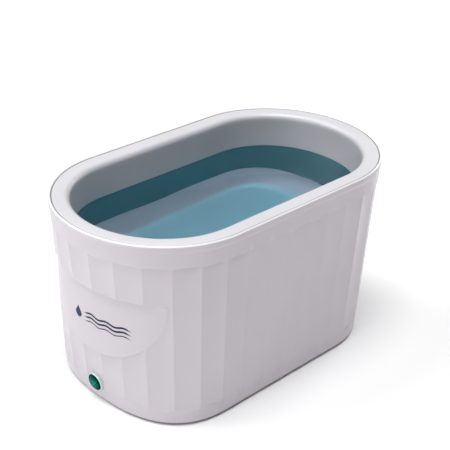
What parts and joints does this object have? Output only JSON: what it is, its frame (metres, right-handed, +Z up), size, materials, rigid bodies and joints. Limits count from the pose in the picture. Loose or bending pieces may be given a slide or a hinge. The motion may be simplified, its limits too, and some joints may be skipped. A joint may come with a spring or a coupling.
{
  "type": "paraffin wax bath",
  "caption": "Table-top paraffin wax bath: tapered fluted plastic housing, deep aluminium tank hung by its flange, band heater, preset thermostat, pilot lamp and mains inlet.",
  "frame": {"origin": "middle of the footprint on the table, level with the undersides of the feet", "axes": "+Z up; Y is the long axis, with the pilot lamp on the -Y end and the mains inlet on the +Y end; +X is the user's right when facing the lamp end"},
  "size_m": [0.2218, 0.3992, 0.212],
  "materials": {
    "housing_plastic": "satin moulded off-white plastic with a faint pink-grey cast",
    "tank_coating": "pale grey non-stick coating on drawn aluminium, satin",
    "silicone": "grey silicone seal, matt",
    "heater_steel": "heat-tinted steel jacket of a mica band heater",
    "steel": "bright zinc-plated steel",
    "galvanised_steel": "galvanised sheet steel with a faint spangle",
    "ceramic": "cream glazed ceramic",
    "glass_wool": "matted yellow glass fibre",
    "foot_rubber": "black moulded rubber, matt",
    "clear_ring": "pale clear moulded ring",
    "green_lens": "deep green faceted lens, polished",
    "black_phenolic": "black moulded phenolic, slightly glossy",
    "brass": "turned or stamped brass",
    "brown_sleeve": "brown insulated lead",
    "blue_sleeve": "blue insulated lead",
    "red_sleeve": "red insulated lead",
    "green_yellow_sleeve": "green earth lead with a yellow stripe"
  },
  "bodies": {
    "bath": {"outer_housing": "housing_plastic", "tank": "tank_coating", "tank_gasket": "silicone", "heater_band": "heater_steel", "heater_clamp_bolt": "steel", "heater_clamp_nut": "steel", "heater_terminal_live": "ceramic", "heater_terminal_neutral": "ceramic", "insulation_wrap": "glass_wool", "base_plate": "galvanised_steel", "tie_rod_front": "steel", "tie_rod_rear": "steel", "tie_washer_front": "steel", "tie_washer_rear": "steel", "tie_nut_front": "steel", "tie_nut_rear": "steel", "foot_front_left": "foot_rubber", "foot_front_right": "foot_rubber", "foot_rear_left": "foot_rubber", "foot_rear_right": "foot_rubber", "pilot_bezel": "clear_ring", "pilot_lens": "green_lens", "pilot_lamp": "black_phenolic", "pilot_nut": "black_phenolic", "inlet_body": "black_phenolic", "inlet_pin_live": "brass", "inlet_pin_earth": "brass", "inlet_pin_neutral": "brass", "inlet_screw_left": "steel", "inlet_screw_right": "steel", "thermostat_bracket": "galvanised_steel", "thermostat_nut_left": "steel", "thermostat_nut_right": "steel", "thermostat_body": "black_phenolic", "cutout_clip": "galvanised_steel", "cutout_nut": "steel", "thermal_cutout": "ceramic", "terminal_block": "ceramic", "terminal_screw_1": "brass", "terminal_screw_2": "brass", "terminal_screw_3": "brass", "earth_nut": "steel", "earth_tag": "brass", "lead_live": "brown_sleeve", "lead_cutout": "brown_sleeve", "lead_heater": "red_sleeve", "lead_neutral": "blue_sleeve", "lead_earth": "green_yellow_sleeve", "lead_lamp_left": "blue_sleeve", "lead_lamp_right": "red_sleeve"},
    "thermostat_adjuster": {"thermostat_spindle": "brass"}
  },
  "joints": [
    {"name": "thermostat_turn", "type": "hinge", "parent": "bath", "child": "thermostat_adjuster", "pos_m": [0, -0.038, 0.03], "axis": [0, 0, 1], "range_deg": [-135, 135]}
  ]
}
